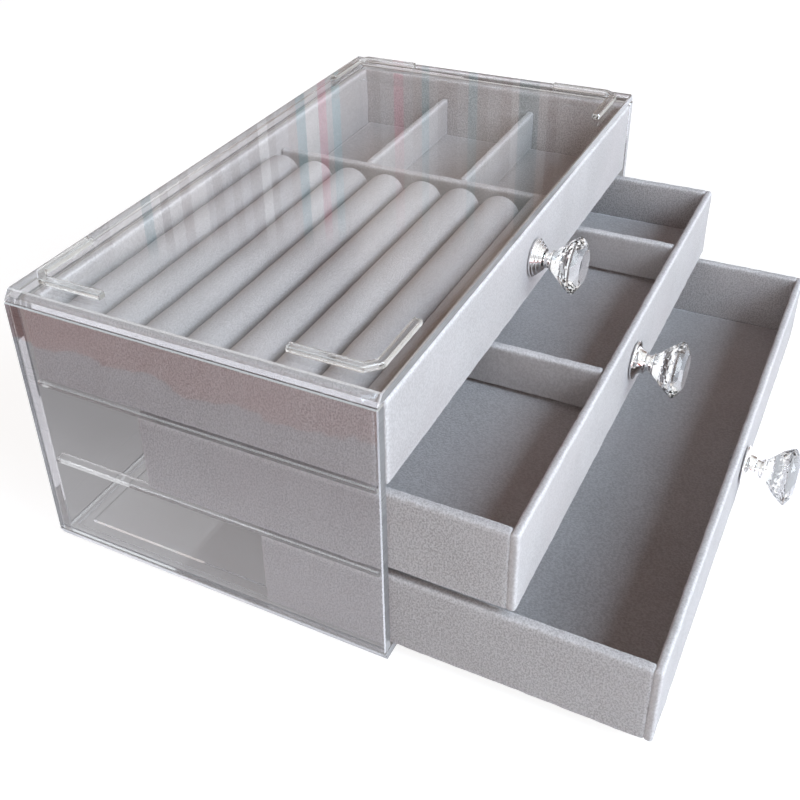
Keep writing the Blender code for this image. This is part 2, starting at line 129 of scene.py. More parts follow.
class VelvetSettings(bpy.types.PropertyGroup):
    light: FloatVectorProperty(
        name="Raised Pile", description="Colour of the pile where it stands towards the light",
        subtype="COLOR", size=3, min=0.0, max=1.0, default=(0.70, 0.665, 0.655))
    dark: FloatVectorProperty(
        name="Brushed Pile", description="Colour of the pile where it lies away from the light",
        subtype="COLOR", size=3, min=0.0, max=1.0, default=(0.385, 0.35, 0.34))
    # Painted highlight, in part the pile opening over the fold: this pale colour lightens the
    # wrapped edges, the top ones most, where they catch the light.
    folded: FloatVectorProperty(
        name="Folded Pile", description="Colour where the pile opens as it wraps over an edge",
        subtype="COLOR", size=3, min=0.0, max=1.0, default=(0.93, 0.90, 0.895))
    blush: FloatVectorProperty(
        name="Blush", description="Colour of the faintly warmer patches", subtype="COLOR", size=3,
        min=0.0, max=1.0, default=(0.585, 0.51, 0.50))
    # Painted shade: this dark colour is painted between and under the ring rolls, where shade
    # falls.
    painted_crease_shade: FloatVectorProperty(
        name="Creased Pile", description="Colour of the pressed pile between the ring rolls",
        subtype="COLOR", size=3, min=0.0, max=1.0, default=(0.20, 0.165, 0.16))
    sheen: FloatProperty(
        name="Sheen", description="How much the pile lights up at a glancing angle",
        subtype="FACTOR", min=0.0, max=1.0, default=0.35)
    pile: FloatProperty(
        name="Pile Relief", description="Height of the grain of the pile", subtype="DISTANCE",
        unit="LENGTH", min=0.0, max=0.002, precision=5, default=0.00060)
    edge: FloatProperty(
        name="Wrapped Edge", description="Radius of the velvet where it wraps over a board's edge",
        subtype="DISTANCE", unit="LENGTH", min=0.0002, max=0.003, precision=5, default=0.0010)
    # Also how far the painted highlight along the wrapped edges reaches.
    fold: FloatProperty(
        name="Fold Width", description="How far from a board's edge the pile is opened by the fold",
        subtype="DISTANCE", unit="LENGTH", min=0.0005, max=0.006, precision=5, default=0.0020)
    unevenness: FloatProperty(
        name="Unevenness", description="How far the glued velvet wanders from the flat board",
        subtype="DISTANCE", unit="LENGTH", min=0.0, max=0.0003, precision=5, default=0.00013)


class ClearSettings(bpy.types.PropertyGroup):
    tint: FloatVectorProperty(
        name="Plate Tint", description="Colour of the clear plates", subtype="COLOR", size=3,
        min=0.0, max=1.0, default=(0.965, 0.955, 0.95))
    edge: FloatVectorProperty(
        name="Cut Edge", description="Colour of the sawn and polished edges", subtype="COLOR",
        size=3, min=0.0, max=1.0, default=(0.33, 0.32, 0.315))
    sawn: FloatVectorProperty(
        name="Saw Marks", description="Colour of the marks across the sawn edges", subtype="COLOR",
        size=3, min=0.0, max=1.0, default=(0.22, 0.21, 0.21))
    bar_end: FloatVectorProperty(
        name="Bar Ends", description="Colour of the cut ends of the guides and ledges",
        subtype="COLOR", size=3, min=0.0, max=1.0, default=(0.64, 0.60, 0.54))
    glint: FloatVectorProperty(
        name="Chamfer Glint", description="Colour of the silvery lines that the chamfers show",
        subtype="COLOR", size=3, min=0.0, max=1.0, default=(0.93, 0.93, 0.94))
    side_light: FloatVectorProperty(
        name="Light Through Side Walls",
        description="How much light gets through each face of a side wall",
        subtype="COLOR", size=3, min=0.0, max=1.0, default=(0.86, 0.845, 0.85))
    ior: FloatProperty(
        name="Refraction", description="Index of refraction of the clear plates",
        min=1.0, max=2.0, default=1.49)


class KnobSettings(bpy.types.PropertyGroup):
    sides: IntProperty(
        name="Turned Sides", description="Facets round the turned metal parts",
        min=24, max=256, default=96)
    chrome: FloatVectorProperty(
        name="Chrome", description="Colour of the plated metal", subtype="COLOR", size=3,
        min=0.0, max=1.0, default=(0.86, 0.85, 0.84))


class StageSettings(bpy.types.PropertyGroup):
    floor: FloatVectorProperty(
        name="Floor", description="Colour of the floor", subtype="COLOR", size=3,
        min=0.0, max=1.0, default=(0.78, 0.775, 0.77))
    key: FloatProperty(
        name="Key Lamp", description="Power of the large lamp in front of the drawers",
        subtype="POWER", unit="POWER", min=0.0, max=200.0, default=12.4)
    sky: FloatProperty(
        name="Sky Lamp", description="Power of the cool lamp high in front of the drawers",
        subtype="POWER", unit="POWER", min=0.0, max=200.0, default=14.2)
    back: FloatProperty(
        name="Back Lamp", description="Power of the lamp behind the case",
        subtype="POWER", unit="POWER", min=0.0, max=200.0, default=3.2)
    side: FloatProperty(
        name="Side Lamp", description="Power of the lamp at the left end",
        subtype="POWER", unit="POWER", min=0.0, max=200.0, default=6.2)
    surround: FloatProperty(
        name="Surround", description="Strength of the even light from all round", min=0.0, max=2.0,
        default=0.13)


SETTINGS = (
    ("jewelry_box_velvet", VelvetSettings),
    ("jewelry_box_clear", ClearSettings),
    ("jewelry_box_knob", KnobSettings),
    ("jewelry_box_stage", StageSettings),
)


class Value:
    """A shader socket that takes part in arithmetic."""

    def __init__(self, nodes, socket):
        self.nodes = nodes
        self.socket = socket

    def __add__(self, other):
        return self.nodes.maths("ADD", self, other)

    def __radd__(self, other):
        return self.nodes.maths("ADD", other, self)

    def __sub__(self, other):
        return self.nodes.maths("SUBTRACT", self, other)

    def __rsub__(self, other):
        return self.nodes.maths("SUBTRACT", other, self)

    def __mul__(self, other):
        return self.nodes.maths("MULTIPLY", self, other)

    def __rmul__(self, other):
        return self.nodes.maths("MULTIPLY", other, self)

    def __abs__(self):
        return self.nodes.maths("ABSOLUTE", self)

    def clamped(self):
        return self.nodes.maths("MAXIMUM", self.nodes.maths("MINIMUM", self, 1.0), 0.0)

    def above(self, low, high):
        """0 under low, 1 over high, and a smooth step between them."""
        node = self.nodes.node("ShaderNodeMapRange", {"interpolation_type": "SMOOTHSTEP"},
                               {"Value": self, "From Min": low, "From Max": high})
        return Value(self.nodes, node.outputs["Result"])

    def between(self, low, high, soft):
        """1 from low to high, fading over a soft margin outside them."""
        return self.above(low - soft, low) * (1.0 - self.above(high, high + soft))


class Nodes:
    """Fills a node tree."""

    def __init__(self, tree, output):
        self.tree = tree
        tree.nodes.clear()
        self.output = self.node(output)

    def node(self, kind, settings=None, sockets=None):
        """Add a node, set its own settings first, then fill its sockets with values or links."""
        node = self.tree.nodes.new(kind)
        for key, value in (settings or {}).items():
            if key == "stops":
                self.set_stops(node.color_ramp, value)
            else:
                setattr(node, key, value)
        for key, value in (sockets or {}).items():
            self.fill(node.inputs[key], value)
        return node

    def set_stops(self, ramp, stops):
        ramp.interpolation = "CONSTANT"
        while len(ramp.elements) < len(stops):
            ramp.elements.new(1.0)
        for element, (position, tone) in zip(ramp.elements, stops):
            element.position = position
            element.color = tone

    def fill(self, socket, value):
        if isinstance(value, Value):
            self.tree.links.new(value.socket, socket)
        elif isinstance(value, bpy.types.NodeSocket):
            self.tree.links.new(value, socket)
        else:
            socket.default_value = value

    def maths(self, operation, *values):
        node = self.node("ShaderNodeMath", {"operation": operation}, dict(enumerate(values)))
        return Value(self, node.outputs["Value"])

    def place(self, stretch=(1.0, 1.0, 1.0), source="Object"):
        """Coordinates, stretched along each axis."""
        found = self.node("ShaderNodeTexCoord").outputs[source]
        node = self.node("ShaderNodeMapping", None, {"Vector": found, "Scale": stretch})
        return node.outputs["Vector"]

    def noise(self, place, scale, detail=2.0, roughness=0.5):
        node = self.node("ShaderNodeTexNoise", None, {
            "Vector": place, "Scale": scale, "Detail": detail, "Roughness": roughness})
        return Value(self, node.outputs["Fac"])

    def along(self, vector, axis):
        """How far a vector points along an axis."""
        node = self.node("ShaderNodeVectorMath", {"operation": "DOT_PRODUCT"}, {0: vector, 1: axis})
        return Value(self, node.outputs["Value"])

    def mix(self, low, high, share):
        node = self.node("ShaderNodeMix", {"data_type": "RGBA"}, {"Factor": share, 6: low, 7: high})
        return node.outputs[2]

    def blend(self, first, second, share):
        """Blend two shaders."""
        node = self.node("ShaderNodeMixShader", None, {0: share, 1: first, 2: second})
        return node.outputs["Shader"]

    def rays(self, *kinds):
        """1 for any of these kinds of ray."""
        path = self.node("ShaderNodeLightPath")
        return sum((Value(self, path.outputs[kind]) for kind in kinds[1:]),
                   Value(self, path.outputs[kinds[0]])).clamped()

    def glow(self, tone):
        return self.node("ShaderNodeEmission", None, {"Color": tone}).outputs["Emission"]

    def finish(self, shader):
        self.fill(self.output.inputs["Surface"], shader)


class Finish(Nodes):
    """Builds one material."""

    def __init__(self, name):
        self.material = bpy.data.materials.new(name)
        self.material.use_nodes = True
        super().__init__(self.material.node_tree, "ShaderNodeOutputMaterial")

    def bump(self, height, strength, distance, under=None):
        sockets = {"Height": height, "Strength": strength, "Distance": distance}
        if under is not None:
            sockets["Normal"] = under
        return self.node("ShaderNodeBump", None, sockets).outputs["Normal"]

    def marked(self, layer):
        """What a piece's points note in one of its layers."""
        node = self.node("ShaderNodeAttribute", {"attribute_name": layer})
        return Value(self, node.outputs["Fac"])

    def surface(self, **sockets):
        named = {key.replace("_", " "): value for key, value in sockets.items()}
        return self.node("ShaderNodeBsdfPrincipled", None, named).outputs["BSDF"]

    def let_light_through(self, shader, tint):
        """Make a clear shader plainly transparent to lamps, soft light and long-trapped rays."""
        passing = self.node("ShaderNodeBsdfTransparent", None, {"Color": colour(tint)})
        depth = Value(self, self.node("ShaderNodeLightPath").outputs["Ray Depth"])
        trapped = self.maths("GREATER_THAN", depth, TRAPPED_DEPTH)
        soft = self.rays("Is Shadow Ray", "Is Diffuse Ray")
        return self.blend(shader, passing.outputs["BSDF"], (soft + trapped).clamped())

    def done(self, shader):
        self.finish(shader)
        return self.material


def colour(values):
    return (*values, 1.0)


def velvet(name, settings, along, speckle, lift=0.0, fineness=1.0, relief=0.8):
    """Short-pile velvet: brushed patches, a grain along one axis, pale folds with a painted
    highlight and painted shade in the creases.
    """
    made = Finish(name)
    place = made.place()
    grain_place = made.place([1.0 - 0.25 * part for part in along])
    patches = made.noise(place, 42.0, 3.0, 0.55)
    drift = made.noise(place, 12.0, 2.0, 0.5)
    grain = made.noise(grain_place, 1600.0 * fineness, 2.0, 0.70)
    fibre = made.noise(grain_place, 5200.0 * fineness, 1.0, 0.5)
    lean = (patches * 0.55 + drift * 0.45).above(0.34, 0.66)
    fleck = (grain * 0.72 + fibre * 0.28).above(0.42, 0.58)
    share = (lean * 0.18 + fleck * speckle + (0.10 + lift)).clamped()
    base = made.mix(colour(settings.dark), colour(settings.light), share)
    blush = made.noise(place, 19.0, 2.0, 0.5).above(0.42, 0.70)
    base = made.mix(base, colour(settings.blush), blush * 0.22)
    # Paint the wrapped edges paler: partly the opened pile, partly a painted highlight, strongest
    # along the top edges.
    base = made.mix(base, colour(settings.folded), made.marked("fold") * (fleck * 0.40 + 0.55))
    # Painted shade between and under the ring rolls.
    base = made.mix(base, colour(settings.painted_crease_shade), made.marked("crease"))
    bumps = made.bump(grain * 0.65 + fibre * 0.35, relief, settings.pile)
    bumps = made.bump(patches, 0.12, 0.0018, bumps)
    return made.done(made.surface(
        Base_Color=base, Roughness=0.92, Normal=bumps, Sheen_Weight=settings.sheen,
        Sheen_Roughness=0.45, Sheen_Tint=(0.94, 0.95, 1.0, 1.0), Specular_IOR_Level=0.15))


def glints(made, normal):
    """1 on the narrow chamfers, told by how far they turn from the nearest axis."""
    parts = [abs(made.along(normal, axis)) for axis in (X_AXIS, Y_AXIS, Z_AXIS)]
    turned = 1.0 - made.maths("MAXIMUM", made.maths("MAXIMUM", parts[0], parts[1]), parts[2])
    return (turned.between(0.090, 0.190, 0.008) + turned.above(0.25, 0.28)).clamped()


def clear_bar(name, settings):
    """Polished clear bar that bends what is seen through it, with silvery chamfers."""
    made = Finish(name)
    normal = made.node("ShaderNodeNewGeometry").outputs["True Normal"]
    smear = made.noise(made.place(), 160.0, 3.0, 0.6).above(0.45, 0.75)
    waves = made.noise(made.place(), 90.0, 1.0, 0.4)
    glass = made.surface(
        Base_Color=colour(settings.tint), Roughness=smear * 0.06, IOR=settings.ior,
        Transmission_Weight=1.0, Normal=made.bump(waves, 0.04, 0.001))
    silver = made.surface(Base_Color=colour(settings.glint), Metallic=1.0, Roughness=0.12)
    sawn = made.surface(Base_Color=colour(settings.bar_end), Roughness=0.30)
    ends = abs(made.along(normal, Y_AXIS)).above(0.90, 0.97)
    upright = 1.0 - abs(made.along(normal, Z_AXIS)).above(0.5, 0.9)
    body = made.blend(glass, sawn, ends * 0.35 + upright * 0.15 + 0.02)
    return made.done(made.let_light_through(
        made.blend(body, silver, glints(made, normal) * 0.30), settings.tint))


def clear_sheet(name, settings, across, passing, shine, cut, bends=True):
    """Clear sheet with silvery chamfers and sawn ends.

    across is the axis through its thickness, passing the light that gets through each face, shine
    the share of silver on its chamfers and cut the share of saw marks on its edges. Faces that
    don't bend what is seen through them still have a gloss.
    """
    made = Finish(name)
    normal = made.node("ShaderNodeNewGeometry").outputs["True Normal"]
    face = abs(made.along(normal, across)).above(0.90, 0.97)
    smear = made.noise(made.place((1.0, 2.4, 1.0)), 16.0, 4.0, 0.6).above(0.45, 0.75)
    dust = made.noise(made.place(), 750.0, 2.0, 0.7).above(0.72, 0.84)
    sheet = made.surface(
        Base_Color=colour(settings.tint), Roughness=smear * 0.015,
        IOR=settings.ior if bends else STRAIGHT_IOR, Transmission_Weight=1.0,
        Coat_Weight=0.0 if bends else 1.0, Coat_IOR=settings.ior, Coat_Roughness=0.012)
    film = made.surface(Base_Color=(0.80, 0.79, 0.79, 1.0), Roughness=0.6)
    sheet = made.blend(sheet, film, smear * 0.018 + dust * 0.08 + 0.006)

    saw = made.noise(made.place((0.04, 0.04, 1.0)), 1500.0, 2.0, 0.6)
    bands = made.noise(made.place((0.01, 0.01, 1.0)), 120.0, 1.0, 0.5).above(0.40, 0.60)
    marks = saw.above(0.42, 0.60) * (bands * 0.7 + 0.3)
    glass = made.surface(
        Base_Color=colour(settings.tint), Roughness=0.05, IOR=settings.ior, Transmission_Weight=1.0)
    sawn = made.surface(
        Base_Color=made.mix(colour(settings.edge), colour(settings.sawn), marks), Roughness=0.28,
        Normal=made.bump(saw * bands, 0.5, 0.0004))
    silver = made.surface(Base_Color=colour(settings.glint), Metallic=1.0, Roughness=0.20)
    ends = abs(made.along(normal, Y_AXIS)).above(0.90, 0.97)
    edge = made.blend(glass, sawn, ends * 0.50 + cut)
    edge = made.blend(edge, silver, glints(made, normal) * shine)
    return made.done(made.let_light_through(made.blend(edge, sheet, face), passing))


def crystal(name):
    """Cut glass with bright facets, faintly dusty all over."""
    made = Finish(name)
    dust = made.noise(made.place(), 900.0, 2.0, 0.6).above(0.55, 0.80)
    glass = made.surface(
        Base_Color=(0.985, 0.985, 0.99, 1.0), Roughness=dust * 0.04, IOR=1.56,
        Transmission_Weight=1.0)
    return made.done(made.let_light_through(glass, (0.72, 0.72, 0.74)))


def chrome(name, tone):
    """Mirror plating with soft smudges."""
    made = Finish(name)
    place = made.place()
    smudge = made.noise(place, 260.0, 3.0, 0.6).above(0.40, 0.75)
    polish = made.noise(place, 2600.0, 1.0, 0.5)
    darker = tuple(part * 0.86 for part in tone)
    base = made.mix(colour(tone), colour(darker), smudge)
    return made.done(made.surface(
        Base_Color=base, Metallic=1.0, Roughness=(0.045 + smudge * 0.09),
        Normal=made.bump(polish, 0.05, 0.0002)))


def screw_steel(name):
    """Plain zinc-plated steel with turning marks."""
    made = Finish(name)
    place = made.place()
    wear = made.noise(place, 700.0, 3.0, 0.6).above(0.35, 0.70)
    base = made.mix((0.58, 0.58, 0.57, 1.0), (0.40, 0.40, 0.41, 1.0), wear)
    return made.done(made.surface(
        Base_Color=base, Metallic=1.0, Roughness=(0.24 + wear * 0.2),
        Normal=made.bump(made.noise(place, 3000.0, 1.0, 0.5), 0.15, 0.0002)))


def pale_floor(name, settings):
    """Pale floor for the camera, with a painted shade that the plates show of it and a painted
    reflection, a glow, that they mirror of it in its place.
    """
    made = Finish(name)
    place = made.place()
    paper = made.noise(place, 60.0, 2.0, 0.5)
    tone = [part * 0.985 for part in settings.floor]
    base = made.mix(colour(settings.floor), colour(tone), paper)
    lit = made.surface(Base_Color=base, Roughness=0.9, Specular_IOR_Level=0.1)
    through = made.rays("Is Transmission Ray")
    behind = made.along(place, Y_AXIS).above(0.03, 0.08)
    # Painted shade: through the plates the lit floor is half replaced by the dim glow, wholly
    # behind the case.
    lit = made.blend(lit, made.glow(FLOOR_THROUGH), through * (behind * 0.5 + 0.5))

    # Painted reflection: glossy rays see the floor glow, bright near the case, cooler and then
    # brown further left.
    ripple = made.noise(place, 24.0, 3.0, 0.6)
    left = made.along(place, LEFTWARDS) + ripple * 0.034
    near = made.mix(FLOOR_CLOSE, FLOOR_COOL, left.above(0.150, 0.215))
    mirrored = made.glow(made.mix(near, FLOOR_BROWN, left.above(0.2275, 0.2295)))
    shown = made.blend(lit, mirrored, made.rays("Is Glossy Ray") * (1.0 - through))

    seen = made.surface(
        Base_Color=(0.34, 0.34, 0.34, 1.0), Roughness=0.9, Specular_IOR_Level=0.1,
        Emission_Color=WHITE, Emission_Strength=0.87)
    return made.done(made.blend(shown, seen, made.rays("Is Camera Ray")))


def mirrored_room(made):
    """Colour of the room that the plates and the chrome mirror: books, pale things, a window."""
    around = made.place(source="Generated")
    height = made.along(around, Z_AXIS)
    east, north = made.along(around, X_AXIS), made.along(around, Y_AXIS)
    haze = (1.0 - east.above(0.60, 0.80)) * height.above(0.27, 0.36)
    room = made.mix(ROOM_DARK, ROOM_HAZE, haze)

    bearing = made.maths("ARCTAN2", east, north)
    spines = made.node("ShaderNodeTexVoronoi", {"voronoi_dimensions": "1D"}, {
        "W": bearing * BOOKS_PER_RADIAN, "Scale": 1.0})
    pick = made.along(spines.outputs["Color"], X_AXIS)
    shelf = made.node("ShaderNodeValToRGB", {"stops": BOOK_TONES}, {"Fac": pick})
    books = east.between(0.66, 0.93, 0.05) * north.above(0.24, 0.34)
    books = books * height.between(0.28, 0.45, 0.03) * (1.0 - east.above(0.80, 0.86) * 0.35)
    room = made.mix(room, shelf.outputs["Color"], books)

    stretched = made.place((6.0, 6.0, 2.5), source="Generated")
    patches = made.noise(stretched, 1.0, 1.0, 0.5).above(0.45, 0.60)
    room = made.mix(room, ROOM_PALE, patches * east.above(0.55, 0.75) * 0.75)

    window = made.along(around, WINDOW_WAY).above(-0.05, 0.45)
    window = window * height.between(-0.05, 0.62, 0.08)
    ceiling = height.above(0.70, 0.82)
    return made.mix(room, WHITE, (window + ceiling).clamped())


def add_object(name, shape, material):
    """Make an object of a bmesh that is already in place."""
    mesh = bpy.data.meshes.new(name)
    shape.to_mesh(mesh)
    shape.free()
    mesh.materials.append(material)
    item = bpy.data.objects.new(name, mesh)
    bpy.context.scene.collection.objects.link(item)
    return item


def add_piece(name, shape, material, stands_for):
    """Add a smooth piece that rides on the body of the nodes it replaces."""
    bmesh.ops.recalc_face_normals(shape, faces=shape.faces)
    item = add_object(name, shape, material)
    item.data.shade_smooth()
    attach(item, BODY_OF[stands_for[0]])
    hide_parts(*stands_for)
    return item


def cut_across(shape, low, high, axis, step, with_ends=False):
    """Cut a mesh into even slices across one axis."""
    span = high[axis] - low[axis]
    slices = max(1, round(span / step))
    normal = Vector([float(i == axis) for i in range(3)])
    cuts = range(0, slices + 1) if with_ends else range(1, slices)
    for index in cuts:
        point = Vector(low)
        point[axis] = low[axis] + span * index / slices
        geometry = shape.verts[:] + shape.edges[:] + shape.faces[:]
        bmesh.ops.bisect_plane(shape, geom=geometry, plane_co=point, plane_no=normal, dist=1e-7)


def wander(shape, amount, size, folded=1.0):
    """Move points a little along their normals, the same way each run, and more at the folds."""
    shape.normal_update()
    layer = shape.verts.layers.float.get("fold")
    for vert in shape.verts:
        reach = amount * (1.0 + (folded - 1.0) * vert[layer]) if layer else amount
        vert.co += vert.normal * (reach * noise.noise(vert.co / size))


def mark_folds(shape, low, high, width):
    """Note on each point how near it is to the edges of a box, most at the top ones; the velvet
    paints a highlight by it.
    """
    layer = shape.verts.layers.float.new("fold")
    for vert in shape.verts:
        inside = sorted(min(vert.co[i] - low[i], high[i] - vert.co[i]) for i in range(3))
        near_top = max(0.0, 1.0 - (high.z - vert.co.z) / width)
        vert[layer] = max(0.0, 1.0 - inside[1] / width) * (0.35 + 0.65 * near_top)


def wrapped_board(node, material, settings):
    """A board wrapped in velvet, in the place of its CAD node."""
    low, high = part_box(node)
    if node.endswith(("_left_board", "_right_board")):
        low.y -= SEAM_LAP
    size = high - low
    shape = bmesh.new()
    bmesh.ops.create_cube(shape, size=1.0)
    bmesh.ops.scale(shape, vec=size, verts=shape.verts)
    bmesh.ops.translate(shape, vec=(low + high) / 2, verts=shape.verts)
    radius = min(settings.edge, min(size) * 0.42)
    bmesh.ops.bevel(shape, geom=shape.edges[:], offset=radius, segments=4, profile=0.5,
                    affect="EDGES", material=-1)
    margin = Vector((max(radius, settings.fold),) * 3)
    step = FLAT_STEP if size.z < min(size.x, size.y) else UPRIGHT_STEP
    for axis in range(3):
        if size[axis] > 4 * margin[axis]:
            cut_across(shape, low + margin, high - margin, axis, step, with_ends=True)
    mark_folds(shape, low, high, settings.fold)
    wander(shape, settings.unevenness, 0.007)
    wander(shape, settings.unevenness * 0.7, 0.0025, folded=2.6)
    return add_piece("velvet_" + node, shape, material, [node])


def spun(profile, sides, centre):
    """Spin a profile of (radius, distance) pairs about the -Y axis through a point."""
    shape = bmesh.new()
    verts = [shape.verts.new((centre[0] + radius, centre[1] - distance, centre[2]))
             for radius, distance in profile]
    edges = [shape.edges.new(pair) for pair in zip(verts, verts[1:])]
    bmesh.ops.spin(shape, geom=verts + edges, axis=Y_AXIS, cent=centre, angle=math.tau, steps=sides,
                   use_merge=True)
    bmesh.ops.remove_doubles(shape, verts=shape.verts, dist=2e-6)
    return shape


def rounded(profile, radius, steps=4):
    """Round every inner corner of a (radius, distance) profile."""
    points = [Vector(point) for point in profile]
    made = [points[0]]
    for before, here, after in zip(points, points[1:], points[2:]):
        back, ahead = before - here, after - here
        reach = min(radius, back.length * 0.45, ahead.length * 0.45)
        start, end = here + back.normalized() * reach, here + ahead.normalized() * reach
        for index in range(steps + 1):
            share = index / steps
            rest = 1 - share
            made.append(start * rest ** 2 + here * (2 * share * rest) + end * share ** 2)
    made.append(points[-1])
    return [tuple(point) for point in made]


class JEWELBOX_OT_clear_case(bpy.types.Operator):
    """Give the clear plates, ledges and guides their polished plastic"""
    bl_idname = "jewelbox.clear_case"
    bl_label = "Clear Case"

    def execute(self, context):
        settings = context.scene.jewelry_box_clear
        bar = clear_bar("clear_bar", settings)
        side = clear_sheet("clear_side_wall", settings, X_AXIS, settings.side_light,
                           shine=0.45, cut=0.35)
        back = clear_sheet("clear_back_wall", settings, Y_AXIS, settings.tint, shine=0.0, cut=0.65)
        top = clear_sheet("clear_top", settings, Z_AXIS, WHITE[:3], shine=0.32, cut=0.08,
                          bends=False)
        bottom = clear_sheet("clear_bottom", settings, Z_AXIS, settings.tint, shine=0.0, cut=0.20)
        sheets = {"left_wall": side, "right_wall": side, "back_wall": back, "top_panel": top,
                  "bottom_panel": bottom}
        for node in BODIES["case"]:
            item = frame["nodes"][node]
            item.data.materials.clear()
            item.data.materials.append(sheets.get(node, bar))
        return {"FINISHED"}


class JEWELBOX_OT_drawer_boards(bpy.types.Operator):
    """Wrap the boards, floors and dividers of the drawers in velvet"""
    bl_idname = "jewelbox.drawer_boards"
    bl_label = "Velvet Drawer Boards"

    def execute(self, context):
        settings = context.scene.jewelry_box_velvet
        side = velvet("velvet_side", settings, Z_AXIS, speckle=0.95, fineness=1.15, relief=1.0)
        front = velvet("velvet_front", settings, Z_AXIS, speckle=0.32, lift=0.09, relief=0.5)
        flat = velvet("velvet_flat", settings, Y_AXIS, speckle=0.44, lift=0.10)
        kinds = ("_board", "_divider_front", "_divider_back", "_divider_left", "_divider_right",
                 "_partition", "_raised_floor")
        for node in sorted(BODY_OF):
            if node.endswith(kinds):
                material = front
                if node.endswith(("_base_board", "_raised_floor")):
                    material = flat
                elif node.endswith(("_left_board", "_right_board")):
                    material = side
                wrapped_board(node, material, settings)
        return {"FINISHED"}


class JEWELBOX_OT_ring_pad(bpy.types.Operator):
    """Make the padded ring rolls and the channelled bed they lie in"""
    bl_idname = "jewelbox.ring_pad"
    bl_label = "Ring Pad"

    def execute(self, context):
        settings = context.scene.jewelry_box_velvet
        # lift=0.34 paints the pad's velvet lighter than the boards': a painted highlight for the
        # light the rolls catch from above.
        material = velvet("velvet_pad", settings, X_AXIS, speckle=0.38, lift=0.34, fineness=1.2)
        rolls = sorted(node for node in BODY_OF if "_ring_roll_" in node)
        for node in rolls:
            self.add_roll(node, material, settings)
        self.add_bed(rolls, material)
        return {"FINISHED"}

    def add_roll(self, node, material, settings):
        low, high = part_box(node)
        centre = (low + high) / 2
        radius = (high.z - low.z) / 2
        end_round = radius * ROLL_END_SHARE
        half = (high.x - low.x) / 2
        straight = half - end_round
        corner = [(radius - end_round * (1 - math.sin(turn)),
                   half - end_round * (1 - math.cos(turn)))
                  for turn in QUARTER_TURN]
        barrel = [(radius, straight - straight * 2 * index / ROLL_SLICES)
                  for index in range(1, ROLL_SLICES)]
        far_corner = [(reach, -along) for reach, along in reversed(corner)]
        profile = [(0.0, half)] + corner + barrel + far_corner + [(0.0, -half)]
        shape = spun(profile, ROLL_SIDES, Vector())
        bmesh.ops.rotate(shape, verts=shape.verts, matrix=Matrix.Rotation(math.radians(90), 3, "Z"))
        bmesh.ops.translate(shape, vec=centre, verts=shape.verts)
        # Painted shade on the roll's sides towards its neighbours and on its lower part, towards
        # the bed.
        crease = shape.verts.layers.float.new("crease")
        for vert in shape.verts:
            low_side = (centre.z - vert.co.z) / radius
            beside = abs(vert.co.y - centre.y) / radius
            shade_depth = max(0.0, (beside - SHADE_BESIDE) / BESIDE_REACH,
                          (low_side + SHADE_ABOVE) / ABOVE_REACH)
            vert[crease] = min(SHADE_LIMIT, shade_depth)
        wander(shape, settings.unevenness * 1.2, 0.009)
        wander(shape, settings.unevenness * 0.5, 0.003)
        item = add_piece("padded_" + node, shape, material, [node])

    def add_bed(self, rolls, material):
        low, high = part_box("top_ring_bed")
        boxes = [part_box(node) for node in rolls]
        radius = (boxes[0][1].z - boxes[0][0].z) / 2 + CHANNEL_GAP
        centre_z = (boxes[0][1].z + boxes[0][0].z) / 2
        axes = sorted(((box[0].y + box[1].y) / 2 for box in boxes), reverse=True)
        rim = math.asin(RIDGE_DROP / radius)
        outline = [(high.y, low.z), (high.y, centre_z - RIDGE_DROP)]
        for index, axis in enumerate(axes):
            last = math.pi if index == len(axes) - 1 else math.pi - rim
            for step in range(CHANNEL_STEPS + 1):
                turn = rim + (last - rim) * step / CHANNEL_STEPS
                outline.append((axis + radius * math.cos(turn), centre_z - radius * math.sin(turn)))
        outline += [(outline[-1][0], high.z), (low.y, high.z), (low.y, low.z)]
        shape = bmesh.new()
        face = shape.faces.new([shape.verts.new((low.x, y, z)) for y, z in outline])
        grown = bmesh.ops.extrude_face_region(shape, geom=[face])
        moved = [part for part in grown["geom"] if isinstance(part, bmesh.types.BMVert)]
        bmesh.ops.translate(shape, vec=(high.x - low.x, 0.0, 0.0), verts=moved)
        sharp = [edge for edge in shape.edges if edge.is_manifold and edge.calc_face_angle() > 0.7]
        bmesh.ops.bevel(shape, geom=sharp, offset=0.0008, segments=3, profile=0.5,
                        affect="EDGES", material=-1)
        cut_across(shape, low, high, 0, 0.006)
        # Painted shade over the whole bed between the first and last roll.
        crease = shape.verts.layers.float.new("crease")
        for vert in shape.verts:
            vert[crease] = SHADE_LIMIT if axes[-1] < vert.co.y < axes[0] else 0.0
        item = add_piece("padded_ring_bed", shape, material, ["top_ring_bed"])


